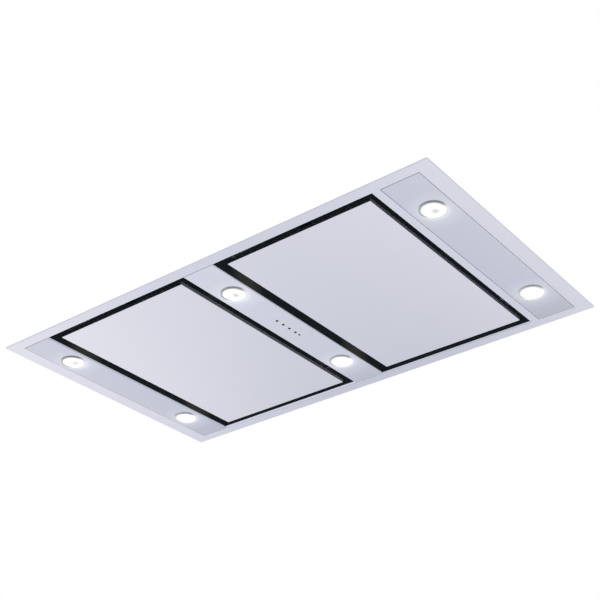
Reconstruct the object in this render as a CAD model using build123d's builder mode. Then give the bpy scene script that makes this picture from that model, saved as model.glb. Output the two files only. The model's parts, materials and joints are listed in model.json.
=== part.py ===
"""Ceiling range hood: a flat stainless flange with two perimeter suction panels,
three light strips and push buttons, under a housing with filters and a blower.

Millimetres. X runs along the long side, Y across it, +Z up into the ceiling.
The origin is the centre of the plane where the flange meets the ceiling.
"""
from build123d import *
import math
import os

os.makedirs("parts", exist_ok=True)

# ---------------------------------------------------------------- driving sizes
# flange: one folded stainless sheet
FLANGE_WIDTH = 700.0        # along Y
FLANGE_DEPTH = 3.0          # how far it stands below the ceiling
FLANGE_SHEET = 1.2
HEM_WIDTH = 12.0            # edge folded back on itself, which meets the ceiling
FLANGE_CORNER = 2.0
EDGE_RADIUS = 0.6
WALL_HEIGHT = 5.5           # walls folded up round the openings, from the face

# what lies side by side along X, from the left edge
END_BORDER = 35.6
SEAM = 0.8                  # gap between a strip and the flange
CLOSE_SEAM = 0.2            # the same where the strip is pushed up to the flange
END_SEAM = 1.4              # the same at the strips' -Y ends
PLATE_SEAM = 0.5            # the same between the web and the right plate
LEFT_STRIP_WIDTH = 80.6
CENTRE_STRIP_WIDTH = 81.4
LEFT_INTAKE = 437.6
RIGHT_INTAKE = 419.0
WEB_WIDTH = 19.0
PLATE_OPENING = 91.0
SIDE_BORDER = 27.7          # border along the long sides

# light strips: folded trays, face down
STRIP_RECESS = 0.4          # above the flange's face
STRIP_SHEET = 1.0
STRIP_RADIUS = 0.5

# suction panels: a skin tray with a backing tray nested in it
PANEL_RECESS = 2.0
STRIP_GAP = 27.0            # suction slot beside a strip
FREE_GAP = 25.6             # the same at the left panel's free edge
WEB_GAP = 18.5              # suction slot beside the flange's web
SIDE_GAP = 21.6             # suction slot along the long sides
SKIN_SHEET = 1.0
SKIN_DEPTH = 9.0
SKIN_RADIUS = 1.2
BACKING_SHEET = 0.6
BACKING_FIT = 0.2           # side clearance inside the skin

# panel hinges
PIVOT_INSET = 14.0          # from the panel's edge
PIVOT_RISE = 16.0           # above the panel's face
PIN_RADIUS = 3.0
PIN_FIT = 0.05              # running clearance in the arm's bore
PIN_HEAD = 1.0
PIN_HEAD_RADIUS = 4.4
EAR_THICKNESS = 4.0
EAR_RADIUS = 5.0
EAR_FIT = 0.5               # between the arm's ear and the hanger's cheeks
ARM_LENGTH = 30.0
ARM_WIDTH = 22.0
ARM_SHEET = 1.5
HINGE_Y = 220.0
CHEEK = 2.0                 # hanger sheet
ARCH_CLEARANCE = 18.0       # from the pivot up to the hanger's beam
BEAM_HEIGHT = 8.0
POST_BACK = 4.0             # hanger post, from the pivot towards the edge
POST_FRONT = 7.0            # and away from it

# magnetic catches
CATCH_Y = 200.0
CATCH_WIDTH = 26.0
CATCH_OVERLAP = 26.0        # reach over the panel's free edge
CATCH_SHEET = 1.5
CATCH_BACK = 12.0           # height of the catch's back plate
CATCH_RISE = 4.0            # from the panel's back up to the catch's leaf
MAGNET_LENGTH = 16.0
MAGNET_WIDTH = 20.0
MAGNET_GAP = 0.3
KEEPER_SHEET = 1.0

# intake collars: black ducts above the suction slots
COLLAR_SHEET = 1.2
COLLAR_FOOT = 10.0
LEDGE_WIDTH = 10.0          # what the filters' top faces rest against

# grease filters, two in each collar
FILTER_GAP = 1.0
FILTER_CLEARANCE = 2.0      # between the hinge hangers and the filters
FILTER_THICKNESS = 10.0
FILTER_RAIL = 14.0
FILTER_HEAD = 34.0          # wide rail that holds the latch
FILTER_GROOVE = 8.0
MESH_THICKNESS = 3.0
LUG_WIDTH = 16.0
LUG_SPREAD = 120.0
LATCH_WIDTH = 16.0
LATCH_THICKNESS = 2.5
LATCH_LENGTH = 18.8
LATCH_TRAVEL = 5.0
LATCH_FIT = 0.3
LATCH_REACH = 1.8           # past the collar's inner face
KNOB_WIDTH = 12.0
KNOB_LENGTH = 6.0
KNOB_DROP = 2.0             # below the filter
KNOB_SETBACK = 8.0          # from the filter's edge to the knob

# downlights
LAMP_Y = 202.5
BEZEL_RADIUS = 28.8
BEZEL_FLANGE = 2.2
BEZEL_ROUND = 0.3
NECK_RADIUS = 27.2
NECK_WALL = 1.2
NECK_HEIGHT = 8.0
NECK_FIT = 0.3              # between the neck and the strip's hole
LENS_RADIUS = 24.8          # of the hole in the bezel's front
LENS_LIP = 1.2              # what holds the lens in the bezel
LENS_THICKNESS = 3.0
LENS_PROUD = 0.3            # beyond the bezel
LAMP_FIT = 0.1              # lens and body inside the neck
LAMP_HEIGHT = 26.0
FIN_ROOT = 8.0
FIN_PITCH = 6.0
FIN_SLOT = 3.5
CLIP_WIDTH = 8.0
CLIP_SHEET = 0.8
CLIP_REACH = 9.0

# push buttons, indicator and board on the centre strip
FIRST_BUTTON_Y = -48.0
BUTTON_PITCH = 22.8
BUTTON_COUNT = 4
INDICATOR_PITCH = 15.2      # from the last button
BUTTON_RADIUS = 3.2
BUTTON_HOLE_FIT = 0.2
BUTTON_PROUD = 0.8
BUTTON_COLLAR_RADIUS = 4.6
BUTTON_COLLAR = 1.0
BUTTON_STOP_FIT = 0.05
BUTTON_STEM_RADIUS = 1.5
BUTTON_STEM = 3.2
BUTTON_TRAVEL = 1.0
SWITCH_FIT = 0.1            # left over at the end of a button's travel
SWITCH_SIZE = 6.0
SWITCH_HEIGHT = 1.9
INDICATOR_RADIUS = 2.8
INDICATOR_FIT = 0.1
BOARD_SHEET = 1.6
BOARD_WIDTH = 44.0
BOARD_MARGIN = 24.0         # board beyond the outermost button and indicator
STUD_RADIUS = 2.5
STUD_INSET = 6.0
CHIP_SIZE = 12.0
CHIP_HEIGHT = 1.5

# housing above the ceiling
HOUSING_HEIGHT = 300.0
HOUSING_SHEET = 1.0
HOUSING_FIT_X = 0.8         # between the flange's walls and the housing
HOUSING_FIT_Y = 2.0
HOUSING_RETURN = 14.0
BEAD_WIDTH = 20.0
BEAD_HEIGHT = 3.0
BEAD_INSET = 110.0

# suspension brackets
HANGER_INSET_X = 37.4
HANGER_INSET_Y = 56.5
HANGER_WIDTH = 40.0
HANGER_SPAN = 34.0
HANGER_FOOT = 14.0
HANGER_SHEET = 2.5
HANGER_RISE = 18.0
ROD_HOLE_RADIUS = 4.5

# blower: double-inlet scroll with a horizontal shaft along X
SCROLL_WIDTH = 120.0
SCROLL_SHEET = 1.0
SCROLL_RADIUS = 96.0        # of its first quarter
SCROLL_GROWTH = 10.0        # how much each further quarter grows
OUTLET_WIDTH = 110.0
SCROLL_CLEARANCE = 10.0     # above the intake collars
INLET_RADIUS = 68.0
INLET_LIP = 6.0
IMPELLER_RADIUS = 80.0
IMPELLER_BORE = 66.0
IMPELLER_WIDTH = 100.0
IMPELLER_RING = 3.0
BLADE_COUNT = 32
BLADE_SHEET = 1.2
BLADE_ANGLE = 35.0
BACKPLATE = 2.0
HUB_RADIUS = 12.0
HUB_LENGTH = 25.0
SHAFT_RADIUS = 4.0
SHAFT_FIT = 0.05
SHAFT_CHAMFER = 0.5
MOTOR_RADIUS = 46.0
MOTOR_LENGTH = 70.0
MOTOR_GAP = 5.0             # from the impeller's back plate
MOTOR_BACK = 14.0           # solid end of the motor behind the shaft
MOTOR_ROUND = 2.5
BRACKET_SHEET = 3.0
BRACKET_RING = 6.0
BRACKET_ARM = 14.0
BRACKET_REACH = 84.0

# duct collar with two non-return flaps
SPIGOT_RADIUS = 74.5        # outside, for a 150 mm duct
SPIGOT_SHEET = 2.5
SPIGOT_LENGTH = 52.0
SPIGOT_FLANGE_RADIUS = 95.0
SPIGOT_FLANGE = 3.0
FLAP_SHEET = 1.5
FLAP_FIT = 1.0              # between the flaps' rims and the spigot
FLAP_SEAT = 3.5
FLAP_SEAT_HEIGHT = 2.0
FLAP_LIFT = 0.1             # flaps' clearance above their seat
FLAP_HEIGHT = 28.0          # seat's top above the flange of the spigot
FLAP_PIN_RADIUS = 1.5
FLAP_PIN_FIT = 0.05
BARREL_RADIUS = 2.7
BARREL_COUNT = 6
BARREL_GAP = 0.5

# electrical box on top of the housing
BOX_LENGTH = 180.0
BOX_WIDTH = 120.0
BOX_HEIGHT = 42.0
BOX_SHEET = 1.2
BOX_X = 390.0
LID_LIP = 8.0
LID_FIT = 0.2
GLAND_BORE = 4.0            # for an 8 mm supply cable
GLAND_THREAD_RADIUS = 7.0
GLAND_NUT_RADIUS = 10.0
GLAND_CAP_RADIUS = 8.0
GLAND_NUT = 12.0
GLAND_INSIDE = 10.0
SCREW_HEAD_RADIUS = 3.8
SCREW_HEAD_HEIGHT = 2.4
SCREW_SLOT_LENGTH = 5.4
SCREW_SLOT_WIDTH = 1.0
SCREW_SLOT_DEPTH = 1.0
SCREW_INSET = 7.0
LONG_SCREW_COUNT = 5
SHORT_SCREW_COUNT = 3

# ------------------------------------------------------- stations along X, Y, Z
FLANGE_LENGTH = (2 * END_BORDER + CLOSE_SEAM + LEFT_STRIP_WIDTH + LEFT_INTAKE + CENTRE_STRIP_WIDTH
                 + RIGHT_INTAKE + WEB_WIDTH + PLATE_OPENING)
OPENING_LEFT = -FLANGE_LENGTH / 2 + END_BORDER
LEFT_STRIP = (OPENING_LEFT + CLOSE_SEAM, OPENING_LEFT + CLOSE_SEAM + LEFT_STRIP_WIDTH)
LEFT_PORT = (LEFT_STRIP[1], LEFT_STRIP[1] + LEFT_INTAKE)
CENTRE_STRIP = (LEFT_PORT[1], LEFT_PORT[1] + CENTRE_STRIP_WIDTH)
RIGHT_PORT = (CENTRE_STRIP[1], CENTRE_STRIP[1] + RIGHT_INTAKE)
PLATE_HOLE = (RIGHT_PORT[1] + WEB_WIDTH, RIGHT_PORT[1] + WEB_WIDTH + PLATE_OPENING)
RIGHT_PLATE = (PLATE_HOLE[0] + PLATE_SEAM, PLATE_HOLE[1] - SEAM)
PORT_Y = FLANGE_WIDTH / 2 - SIDE_BORDER

FACE = -FLANGE_DEPTH
FLANGE_BACK = FACE + FLANGE_SHEET
WALL_TOP = FACE + WALL_HEIGHT
STRIP_FACE = FACE + STRIP_RECESS
STRIP_BACK = STRIP_FACE + STRIP_SHEET
PANEL_FACE = FACE + PANEL_RECESS
PANEL_BACK = PANEL_FACE + SKIN_DEPTH
PANEL_Y = PORT_Y - SIDE_GAP
LEFT_PANEL = (LEFT_PORT[0] + STRIP_GAP, LEFT_PORT[1] - FREE_GAP)
RIGHT_PANEL = (RIGHT_PORT[0] + STRIP_GAP, RIGHT_PORT[1] - WEB_GAP)
PIVOT_Z = PANEL_FACE + PIVOT_RISE
BEAM_BOTTOM = PIVOT_Z + ARCH_CLEARANCE
BEAM_TOP = BEAM_BOTTOM + BEAM_HEIGHT

FILTER_BOTTOM = BEAM_TOP + FILTER_CLEARANCE
FILTER_TOP = FILTER_BOTTOM + FILTER_THICKNESS
COLLAR_TOP = FILTER_TOP + COLLAR_SHEET
LATCH_BOTTOM = FILTER_BOTTOM + (FILTER_THICKNESS - LATCH_THICKNESS) / 2
LATCH_TOP = LATCH_BOTTOM + LATCH_THICKNESS
FILTER_Y = PORT_Y - FILTER_GAP

HOUSING_X = -OPENING_LEFT + FLANGE_SHEET + HOUSING_FIT_X      # inner faces
HOUSING_Y = PORT_Y + FLANGE_SHEET + HOUSING_FIT_Y
TOP_UNDER = HOUSING_HEIGHT - HOUSING_SHEET
STRIP_Y = (-PORT_Y + END_SEAM, PORT_Y - CLOSE_SEAM)
LEFT_LAMP_X = sum(LEFT_STRIP) / 2
CENTRE_X = sum(CENTRE_STRIP) / 2
RIGHT_LAMP_X = sum(RIGHT_PLATE) / 2
BUTTON_Y = [FIRST_BUTTON_Y + i * BUTTON_PITCH for i in range(BUTTON_COUNT)]
INDICATOR_Y = BUTTON_Y[-1] + INDICATOR_PITCH
LAMP_SPOTS = [(x, y) for x in (LEFT_LAMP_X, CENTRE_X, RIGHT_LAMP_X) for y in (-LAMP_Y, LAMP_Y)]
HOLE_RADIUS = NECK_RADIUS + NECK_FIT


# --------------------------------------------------------------------- helpers
def block(x, y, z, mode=Mode.ADD):
    """A block between two X, two Y and two Z limits, in the part being built."""
    with Locations(((x[0] + x[1]) / 2, (y[0] + y[1]) / 2, (z[0] + z[1]) / 2)):
        Box(abs(x[1] - x[0]), abs(y[1] - y[0]), abs(z[1] - z[0]), mode=mode)


def rod(radius, spot, z, mode=Mode.ADD):
    """An upright cylinder at an (x, y) spot between two heights."""
    with Locations((spot[0], spot[1], (z[0] + z[1]) / 2)):
        Cylinder(radius, z[1] - z[0], mode=mode)


def rod_x(radius, x, centre, mode=Mode.ADD):
    """A cylinder along X between two X limits, with its axis at a (y, z) centre."""
    with Locations(((x[0] + x[1]) / 2, centre[0], centre[1])):
        Cylinder(radius, abs(x[1] - x[0]), rotation=(0, 90, 0), mode=mode)


def rod_y(radius, y, centre, mode=Mode.ADD):
    """A cylinder along Y between two Y limits, with its axis at an (x, z) centre."""
    with Locations((centre[0], (y[0] + y[1]) / 2, centre[1])):
        Cylinder(radius, abs(y[1] - y[0]), rotation=(90, 0, 0), mode=mode)


def both(half):
    """Limits from -half to +half."""
    return (-half, half)


def save(builder, name):
    """Label a finished piece and write it."""
    builder.part.label = name
    export_step(builder.part, f"parts/{name}.step")


def save_pieces(pieces, name):
    """Label several solids that touch without being fused and write them together."""
    group = Compound(children=pieces)
    group.label = name
    export_step(group, f"parts/{name}.step")


# ---------------------------------------------------------------------- flange
with BuildPart() as flange_frame:
    block(both(FLANGE_LENGTH / 2), both(FLANGE_WIDTH / 2), (FACE, FLANGE_BACK))
    block(both(FLANGE_LENGTH / 2), both(FLANGE_WIDTH / 2), (FLANGE_BACK, 0))
    block(both(FLANGE_LENGTH / 2 - HEM_WIDTH), both(FLANGE_WIDTH / 2 - HEM_WIDTH),
          (FLANGE_BACK, 0), Mode.SUBTRACT)
    for opening in ((OPENING_LEFT, RIGHT_PORT[1]), PLATE_HOLE):
        block((opening[0] - FLANGE_SHEET, opening[1] + FLANGE_SHEET),
              both(PORT_Y + FLANGE_SHEET), (FACE, WALL_TOP))
        block(opening, both(PORT_Y), (FACE, WALL_TOP), Mode.SUBTRACT)
    outer_edges = flange_frame.edges().filter_by(Axis.Z).group_by(lambda e: abs(e.center().X))[-1]
    fillet(outer_edges, FLANGE_CORNER)
    fillet(flange_frame.faces().filter_by(Axis.Z).sort_by(Axis.Z)[0].edges(), EDGE_RADIUS)
save(flange_frame, "flange_frame")


# ---------------------------------------------------------------- light strips
def strip_tray(x):
    """A light strip: a tray with its edges folded up and two lamp holes."""
    spot_x = (x[0] + x[1]) / 2
    with BuildPart() as tray:
        block(x, STRIP_Y, (STRIP_FACE, WALL_TOP))
        fillet(tray.faces().sort_by(Axis.Z)[0].edges(), STRIP_RADIUS)
        block((x[0] + STRIP_SHEET, x[1] - STRIP_SHEET), (STRIP_Y[0] + STRIP_SHEET, STRIP_Y[1] - STRIP_SHEET),
              (STRIP_BACK, WALL_TOP), Mode.SUBTRACT)
        for y in (-LAMP_Y, LAMP_Y):
            rod(HOLE_RADIUS, (spot_x, y), (STRIP_FACE, STRIP_BACK), Mode.SUBTRACT)
    return tray


save(strip_tray(LEFT_STRIP), "light_strip_left")
save(strip_tray(RIGHT_PLATE), "light_plate_right")

SWITCH_BOTTOM = (STRIP_BACK + BUTTON_STOP_FIT + BUTTON_COLLAR + BUTTON_STEM
                 + BUTTON_TRAVEL + SWITCH_FIT)
BOARD_BOTTOM = SWITCH_BOTTOM + SWITCH_HEIGHT
BOARD_TOP = BOARD_BOTTOM + BOARD_SHEET
BOARD_X = (CENTRE_X - BOARD_WIDTH / 2, CENTRE_X + BOARD_WIDTH / 2)
BOARD_Y = (min(BUTTON_Y) - BOARD_MARGIN, INDICATOR_Y + BOARD_MARGIN)
STUDS = [(x, y) for x in (BOARD_X[0] + STUD_INSET, BOARD_X[1] - STUD_INSET)
         for y in (BOARD_Y[0] + STUD_INSET, BOARD_Y[1] - STUD_INSET)]

with BuildPart() as control_strip:
    add(strip_tray(CENTRE_STRIP).part)
    for y in BUTTON_Y:
        rod(BUTTON_RADIUS + BUTTON_HOLE_FIT, (CENTRE_X, y), (STRIP_FACE, STRIP_BACK), Mode.SUBTRACT)
    rod(INDICATOR_RADIUS + INDICATOR_FIT, (CENTRE_X, INDICATOR_Y), (STRIP_FACE, STRIP_BACK), Mode.SUBTRACT)
    for stud in STUDS:
        rod(STUD_RADIUS, stud, (STRIP_BACK, BOARD_BOTTOM))
save(control_strip, "control_strip")

# ------------------------------------------------------------- buttons, board
for number, y in enumerate(BUTTON_Y, 1):
    collar_bottom = STRIP_BACK + BUTTON_STOP_FIT
    collar_top = collar_bottom + BUTTON_COLLAR
    with BuildPart() as push_button:
        rod(BUTTON_RADIUS, (CENTRE_X, y), (STRIP_FACE - BUTTON_PROUD, collar_bottom))
        fillet(push_button.faces().sort_by(Axis.Z)[0].edges(), EDGE_RADIUS)
        rod(BUTTON_COLLAR_RADIUS, (CENTRE_X, y), (collar_bottom, collar_top))
        rod(BUTTON_STEM_RADIUS, (CENTRE_X, y), (collar_top, collar_top + BUTTON_STEM))
    save(push_button, f"push_button_{number}")

with BuildPart() as indicator_lens:
    rod(INDICATOR_RADIUS, (CENTRE_X, INDICATOR_Y), (STRIP_FACE - BUTTON_PROUD / 2, BOARD_BOTTOM))
    fillet(indicator_lens.faces().sort_by(Axis.Z)[0].edges(), EDGE_RADIUS / 2)
save(indicator_lens, "indicator_lens")

with BuildPart() as control_board:
    block(BOARD_X, BOARD_Y, (BOARD_BOTTOM, BOARD_TOP))
    for y in BUTTON_Y:
        block((CENTRE_X - SWITCH_SIZE / 2, CENTRE_X + SWITCH_SIZE / 2),
              (y - SWITCH_SIZE / 2, y + SWITCH_SIZE / 2), (SWITCH_BOTTOM, BOARD_BOTTOM))
        block((CENTRE_X - CHIP_SIZE / 2, CENTRE_X + CHIP_SIZE / 2),
              (y - CHIP_SIZE / 2, y + CHIP_SIZE / 2), (BOARD_TOP, BOARD_TOP + CHIP_HEIGHT))
save(control_board, "control_board")

# ------------------------------------------------------------------ downlights
BEZEL_FRONT = STRIP_FACE - BEZEL_FLANGE
NECK_TOP = BEZEL_FRONT + NECK_HEIGHT
LIP_BACK = BEZEL_FRONT + LENS_LIP
LENS_BACK = BEZEL_FRONT + LENS_THICKNESS
LAMP_TOP = BEZEL_FRONT + LAMP_HEIGHT
NECK_BORE = NECK_RADIUS - NECK_WALL

with BuildPart() as lamp_bezels:
    for spot in LAMP_SPOTS:
        rod(BEZEL_RADIUS, spot, (BEZEL_FRONT, STRIP_FACE))
    fillet(lamp_bezels.faces().filter_by(Axis.Z).group_by(Axis.Z)[0].edges(), BEZEL_ROUND)
    for spot in LAMP_SPOTS:
        rod(NECK_RADIUS, spot, (STRIP_FACE, NECK_TOP))
        rod(NECK_BORE, spot, (LIP_BACK, NECK_TOP), Mode.SUBTRACT)
        rod(LENS_RADIUS, spot, (BEZEL_FRONT, LIP_BACK), Mode.SUBTRACT)
save(lamp_bezels, "lamp_bezels")

with BuildPart() as lamp_lenses:
    for spot in LAMP_SPOTS:
        rod(LENS_RADIUS - LAMP_FIT, spot, (BEZEL_FRONT - LENS_PROUD, LIP_BACK))
        rod(NECK_BORE - LAMP_FIT, spot, (LIP_BACK, LENS_BACK))
    fillet(lamp_lenses.faces().filter_by(Axis.Z).group_by(Axis.Z)[0].edges(), LENS_PROUD)
save(lamp_lenses, "lamp_lenses")

with BuildPart() as lamp_bodies:
    body_radius = NECK_BORE - LAMP_FIT
    slot_count = int(2 * body_radius / FIN_PITCH)
    for spot in LAMP_SPOTS:
        rod(body_radius, spot, (LENS_BACK, LAMP_TOP))
        for slot in range(slot_count):
            slot_x = spot[0] + (slot - (slot_count - 1) / 2) * FIN_PITCH
            block((slot_x - FIN_SLOT / 2, slot_x + FIN_SLOT / 2),
                  (spot[1] - BEZEL_RADIUS, spot[1] + BEZEL_RADIUS),
                  (LENS_BACK + FIN_ROOT, LAMP_TOP), Mode.SUBTRACT)
save(lamp_bodies, "lamp_bodies")

with BuildPart() as lamp_clips:
    clip_top = NECK_TOP - CLIP_SHEET
    leaf = [(NECK_RADIUS, clip_top), (NECK_RADIUS + CLIP_SHEET, clip_top),
            (NECK_RADIUS + CLIP_REACH, STRIP_BACK), (NECK_RADIUS + CLIP_REACH - 2 * CLIP_SHEET, STRIP_BACK),
            (NECK_RADIUS, clip_top - 2 * CLIP_SHEET)]
    for x, y in LAMP_SPOTS:
        for side in (-1, 1):
            plane = Plane(origin=(x - CLIP_WIDTH / 2, y, 0), x_dir=(0, side, 0), z_dir=(1, 0, 0))
            upright = plane.y_dir.Z
            with BuildSketch(plane):
                with BuildLine():
                    Polyline(*[(r, z * upright) for r, z in leaf], close=True)
                make_face()
            extrude(amount=CLIP_WIDTH)
save(lamp_clips, "lamp_clips")


# -------------------------------------------------------------- intake collars
def filter_spans(port):
    """The X limits of the two filters side by side in a port."""
    width = (port[1] - port[0] - 3 * FILTER_GAP) / 2
    first = port[0] + FILTER_GAP
    return [(first, first + width), (first + width + FILTER_GAP, first + 2 * width + FILTER_GAP)]


def end_wall(port, end):
    """A collar's wall at its -Y (-1) or +Y (+1) end, with slots for the latches or the lugs."""
    wall_y = (end * PORT_Y, end * (PORT_Y + COLLAR_SHEET))
    with BuildPart() as wall:
        block((port[0] - COLLAR_SHEET, port[1] + COLLAR_SHEET), wall_y, (WALL_TOP, FILTER_TOP))
        for span in filter_spans(port):
            centre = (span[0] + span[1]) / 2
            slots = [(centre, LATCH_WIDTH)]
            if end > 0:
                slots = [(centre + side * LUG_SPREAD / 2, LUG_WIDTH) for side in (-1, 1)]
            for x, width in slots:
                half = width / 2 + 2 * LATCH_FIT
                block((x - half, x + half), wall_y,
                      (LATCH_BOTTOM - 2 * LATCH_FIT, LATCH_TOP + 2 * LATCH_FIT), Mode.SUBTRACT)
    return wall.part


def side_wall(port, side):
    """A collar's wall at its -X (-1) or +X (+1) side: an angle whose foot stands on the strip."""
    inner = port[side > 0]
    with BuildPart() as wall:
        block((inner, inner + side * COLLAR_SHEET), both(PORT_Y), (WALL_TOP, FILTER_TOP))
        block((inner, inner + side * (COLLAR_SHEET + COLLAR_FOOT)), STRIP_Y,
              (WALL_TOP, WALL_TOP + COLLAR_SHEET))
    return wall.part


def ledge_bar(x, y):
    """A flat bar on top of a collar's walls, which the filters rest against from below."""
    with BuildPart() as bar:
        block(x, y, (FILTER_TOP, COLLAR_TOP))
    return bar.part


def intake_collar(port):
    """A duct of four walls, with five ledge bars welded on top of them."""
    outer = (port[0] - COLLAR_SHEET, port[1] + COLLAR_SHEET)
    middle = (port[0] + port[1]) / 2
    ledge_y = PORT_Y - LEDGE_WIDTH
    pieces = [end_wall(port, end) for end in (-1, 1)]
    pieces += [side_wall(port, side) for side in (-1, 1)]
    pieces += [ledge_bar(outer, (end * ledge_y, end * (PORT_Y + COLLAR_SHEET))) for end in (-1, 1)]
    for x in ((outer[0], port[0] + LEDGE_WIDTH), (middle - LEDGE_WIDTH, middle + LEDGE_WIDTH),
              (port[1] - LEDGE_WIDTH, outer[1])):
        pieces.append(ledge_bar(x, both(ledge_y)))
    return pieces


save_pieces(intake_collar(LEFT_PORT), "intake_collar_left")
save_pieces(intake_collar(RIGHT_PORT), "intake_collar_right")


# --------------------------------------------------------------- grease filters
KNOB_Y = -FILTER_Y + KNOB_SETBACK
LATCH_FRONT = -PORT_Y - LATCH_REACH
LATCH_REAR = LATCH_FRONT + LATCH_LENGTH
MESH_BOTTOM = FILTER_BOTTOM + (FILTER_THICKNESS - MESH_THICKNESS) / 2


def filter_frame(span):
    """A filter's frame: rails with a groove for the mesh, two lugs and a latch pocket."""
    centre = (span[0] + span[1]) / 2
    window_x = (span[0] + FILTER_RAIL, span[1] - FILTER_RAIL)
    window_y = (-FILTER_Y + FILTER_HEAD, FILTER_Y - FILTER_RAIL)
    with BuildPart() as frame:
        block(span, both(FILTER_Y), (FILTER_BOTTOM, FILTER_TOP))
        block(window_x, window_y, (FILTER_BOTTOM, FILTER_TOP), Mode.SUBTRACT)
        block((window_x[0] - FILTER_GROOVE, window_x[1] + FILTER_GROOVE),
              (window_y[0] - FILTER_GROOVE / 2, window_y[1] + FILTER_GROOVE),
              (MESH_BOTTOM, MESH_BOTTOM + MESH_THICKNESS), Mode.SUBTRACT)
        for side in (-1, 1):
            x = centre + side * LUG_SPREAD / 2
            block((x - LUG_WIDTH / 2, x + LUG_WIDTH / 2), (FILTER_Y, PORT_Y + LATCH_REACH),
                  (LATCH_BOTTOM, LATCH_TOP))
        half = LATCH_WIDTH / 2 + LATCH_FIT
        block((centre - half, centre + half), (-FILTER_Y, LATCH_REAR + LATCH_TRAVEL + LATCH_FIT),
              (LATCH_BOTTOM - LATCH_FIT, LATCH_TOP + LATCH_FIT), Mode.SUBTRACT)
        half = KNOB_WIDTH / 2 + LATCH_FIT
        block((centre - half, centre + half),
              (KNOB_Y - LATCH_FIT, KNOB_Y + KNOB_LENGTH + LATCH_TRAVEL + LATCH_FIT),
              (FILTER_BOTTOM, LATCH_BOTTOM), Mode.SUBTRACT)
    return frame


def filter_mesh(span):
    """The layered mesh that fills a filter's frame, edges in the groove."""
    with BuildPart() as mesh:
        block((span[0] + FILTER_RAIL - FILTER_GROOVE, span[1] - FILTER_RAIL + FILTER_GROOVE),
              (-FILTER_Y + FILTER_HEAD - FILTER_GROOVE / 2, FILTER_Y - FILTER_RAIL + FILTER_GROOVE),
              (MESH_BOTTOM, MESH_BOTTOM + MESH_THICKNESS))
    return mesh


def filter_latch(span):
    """A sliding latch: a tongue into the collar's slot and a knob below the filter."""
    centre = (span[0] + span[1]) / 2
    with BuildPart() as latch:
        block((centre - LATCH_WIDTH / 2, centre + LATCH_WIDTH / 2), (LATCH_FRONT, LATCH_REAR),
              (LATCH_BOTTOM, LATCH_TOP))
        block((centre - KNOB_WIDTH / 2, centre + KNOB_WIDTH / 2), (KNOB_Y, KNOB_Y + KNOB_LENGTH),
              (FILTER_BOTTOM - KNOB_DROP, LATCH_BOTTOM))
        fillet(latch.faces().sort_by(Axis.Z)[0].edges(), EDGE_RADIUS)
    return latch


for number, span in enumerate(filter_spans(LEFT_PORT) + filter_spans(RIGHT_PORT), 1):
    save(filter_frame(span), f"filter_frame_{number}")
    save(filter_mesh(span), f"filter_mesh_{number}")
    save(filter_latch(span), f"filter_latch_{number}")


# -------------------------------------------------------------- suction panels
def pivot_x(panel, side):
    """The hinge axis of a panel that is hinged at its left (-1) or right (+1) edge."""
    return panel[side > 0] - side * PIVOT_INSET


def hinge_arms(panel, side):
    """Two arms on the panel's back, each with an ear bored for its pin."""
    x = pivot_x(panel, side)
    with BuildPart() as arms:
        for y in (-HINGE_Y, HINGE_Y):
            block((x + side * EAR_RADIUS, x - side * (ARM_LENGTH - EAR_RADIUS)),
                  (y - ARM_WIDTH / 2, y + ARM_WIDTH / 2), (PANEL_BACK, PANEL_BACK + ARM_SHEET))
            block((x - EAR_RADIUS, x + EAR_RADIUS), (y - EAR_THICKNESS / 2, y + EAR_THICKNESS / 2),
                  (PANEL_BACK + ARM_SHEET, PIVOT_Z))
            rod_y(EAR_RADIUS, (y - EAR_THICKNESS / 2, y + EAR_THICKNESS / 2), (x, PIVOT_Z))
            rod_y(PIN_RADIUS + PIN_FIT, (y - EAR_THICKNESS / 2, y + EAR_THICKNESS / 2),
                  (x, PIVOT_Z), Mode.SUBTRACT)
    return arms


def keepers(panel, side):
    """Two steel keepers on the panel's back, near its free edge, under the magnets."""
    edge = panel[side < 0]
    with BuildPart() as plates:
        for y in (-CATCH_Y, CATCH_Y):
            block((edge + side * SKIN_SHEET * 2, edge + side * CATCH_OVERLAP),
                  (y - CATCH_WIDTH / 2, y + CATCH_WIDTH / 2), (PANEL_BACK, PANEL_BACK + KEEPER_SHEET))
    return plates


for name, panel, side in (("panel_left", LEFT_PANEL, -1), ("panel_right", RIGHT_PANEL, 1)):
    with BuildPart() as skin:
        block(panel, both(PANEL_Y), (PANEL_FACE, PANEL_BACK))
        fillet(skin.edges().filter_by(Axis.Z) + skin.faces().sort_by(Axis.Z)[0].edges(), SKIN_RADIUS)
        block((panel[0] + SKIN_SHEET, panel[1] - SKIN_SHEET), both(PANEL_Y - SKIN_SHEET),
              (PANEL_FACE + SKIN_SHEET, PANEL_BACK), Mode.SUBTRACT)
    save(skin, f"{name}_skin")

    rim = SKIN_SHEET + BACKING_FIT
    with BuildPart() as backing:
        block((panel[0] + rim, panel[1] - rim), both(PANEL_Y - rim), (PANEL_FACE + SKIN_SHEET, PANEL_BACK))
        block((panel[0] + rim + BACKING_SHEET, panel[1] - rim - BACKING_SHEET),
              both(PANEL_Y - rim - BACKING_SHEET), (PANEL_FACE + SKIN_SHEET, PANEL_BACK - BACKING_SHEET),
              Mode.SUBTRACT)
    save(backing, f"{name}_backing")
    save(hinge_arms(panel, side), f"{name}_arms")
    save(keepers(panel, side), f"{name}_keepers")

HINGES = [(LEFT_PANEL, LEFT_PORT, -1), (RIGHT_PANEL, RIGHT_PORT, 1)]
CHEEK_INNER = EAR_THICKNESS / 2 + EAR_FIT
CHEEK_OUTER = CHEEK_INNER + CHEEK

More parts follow.
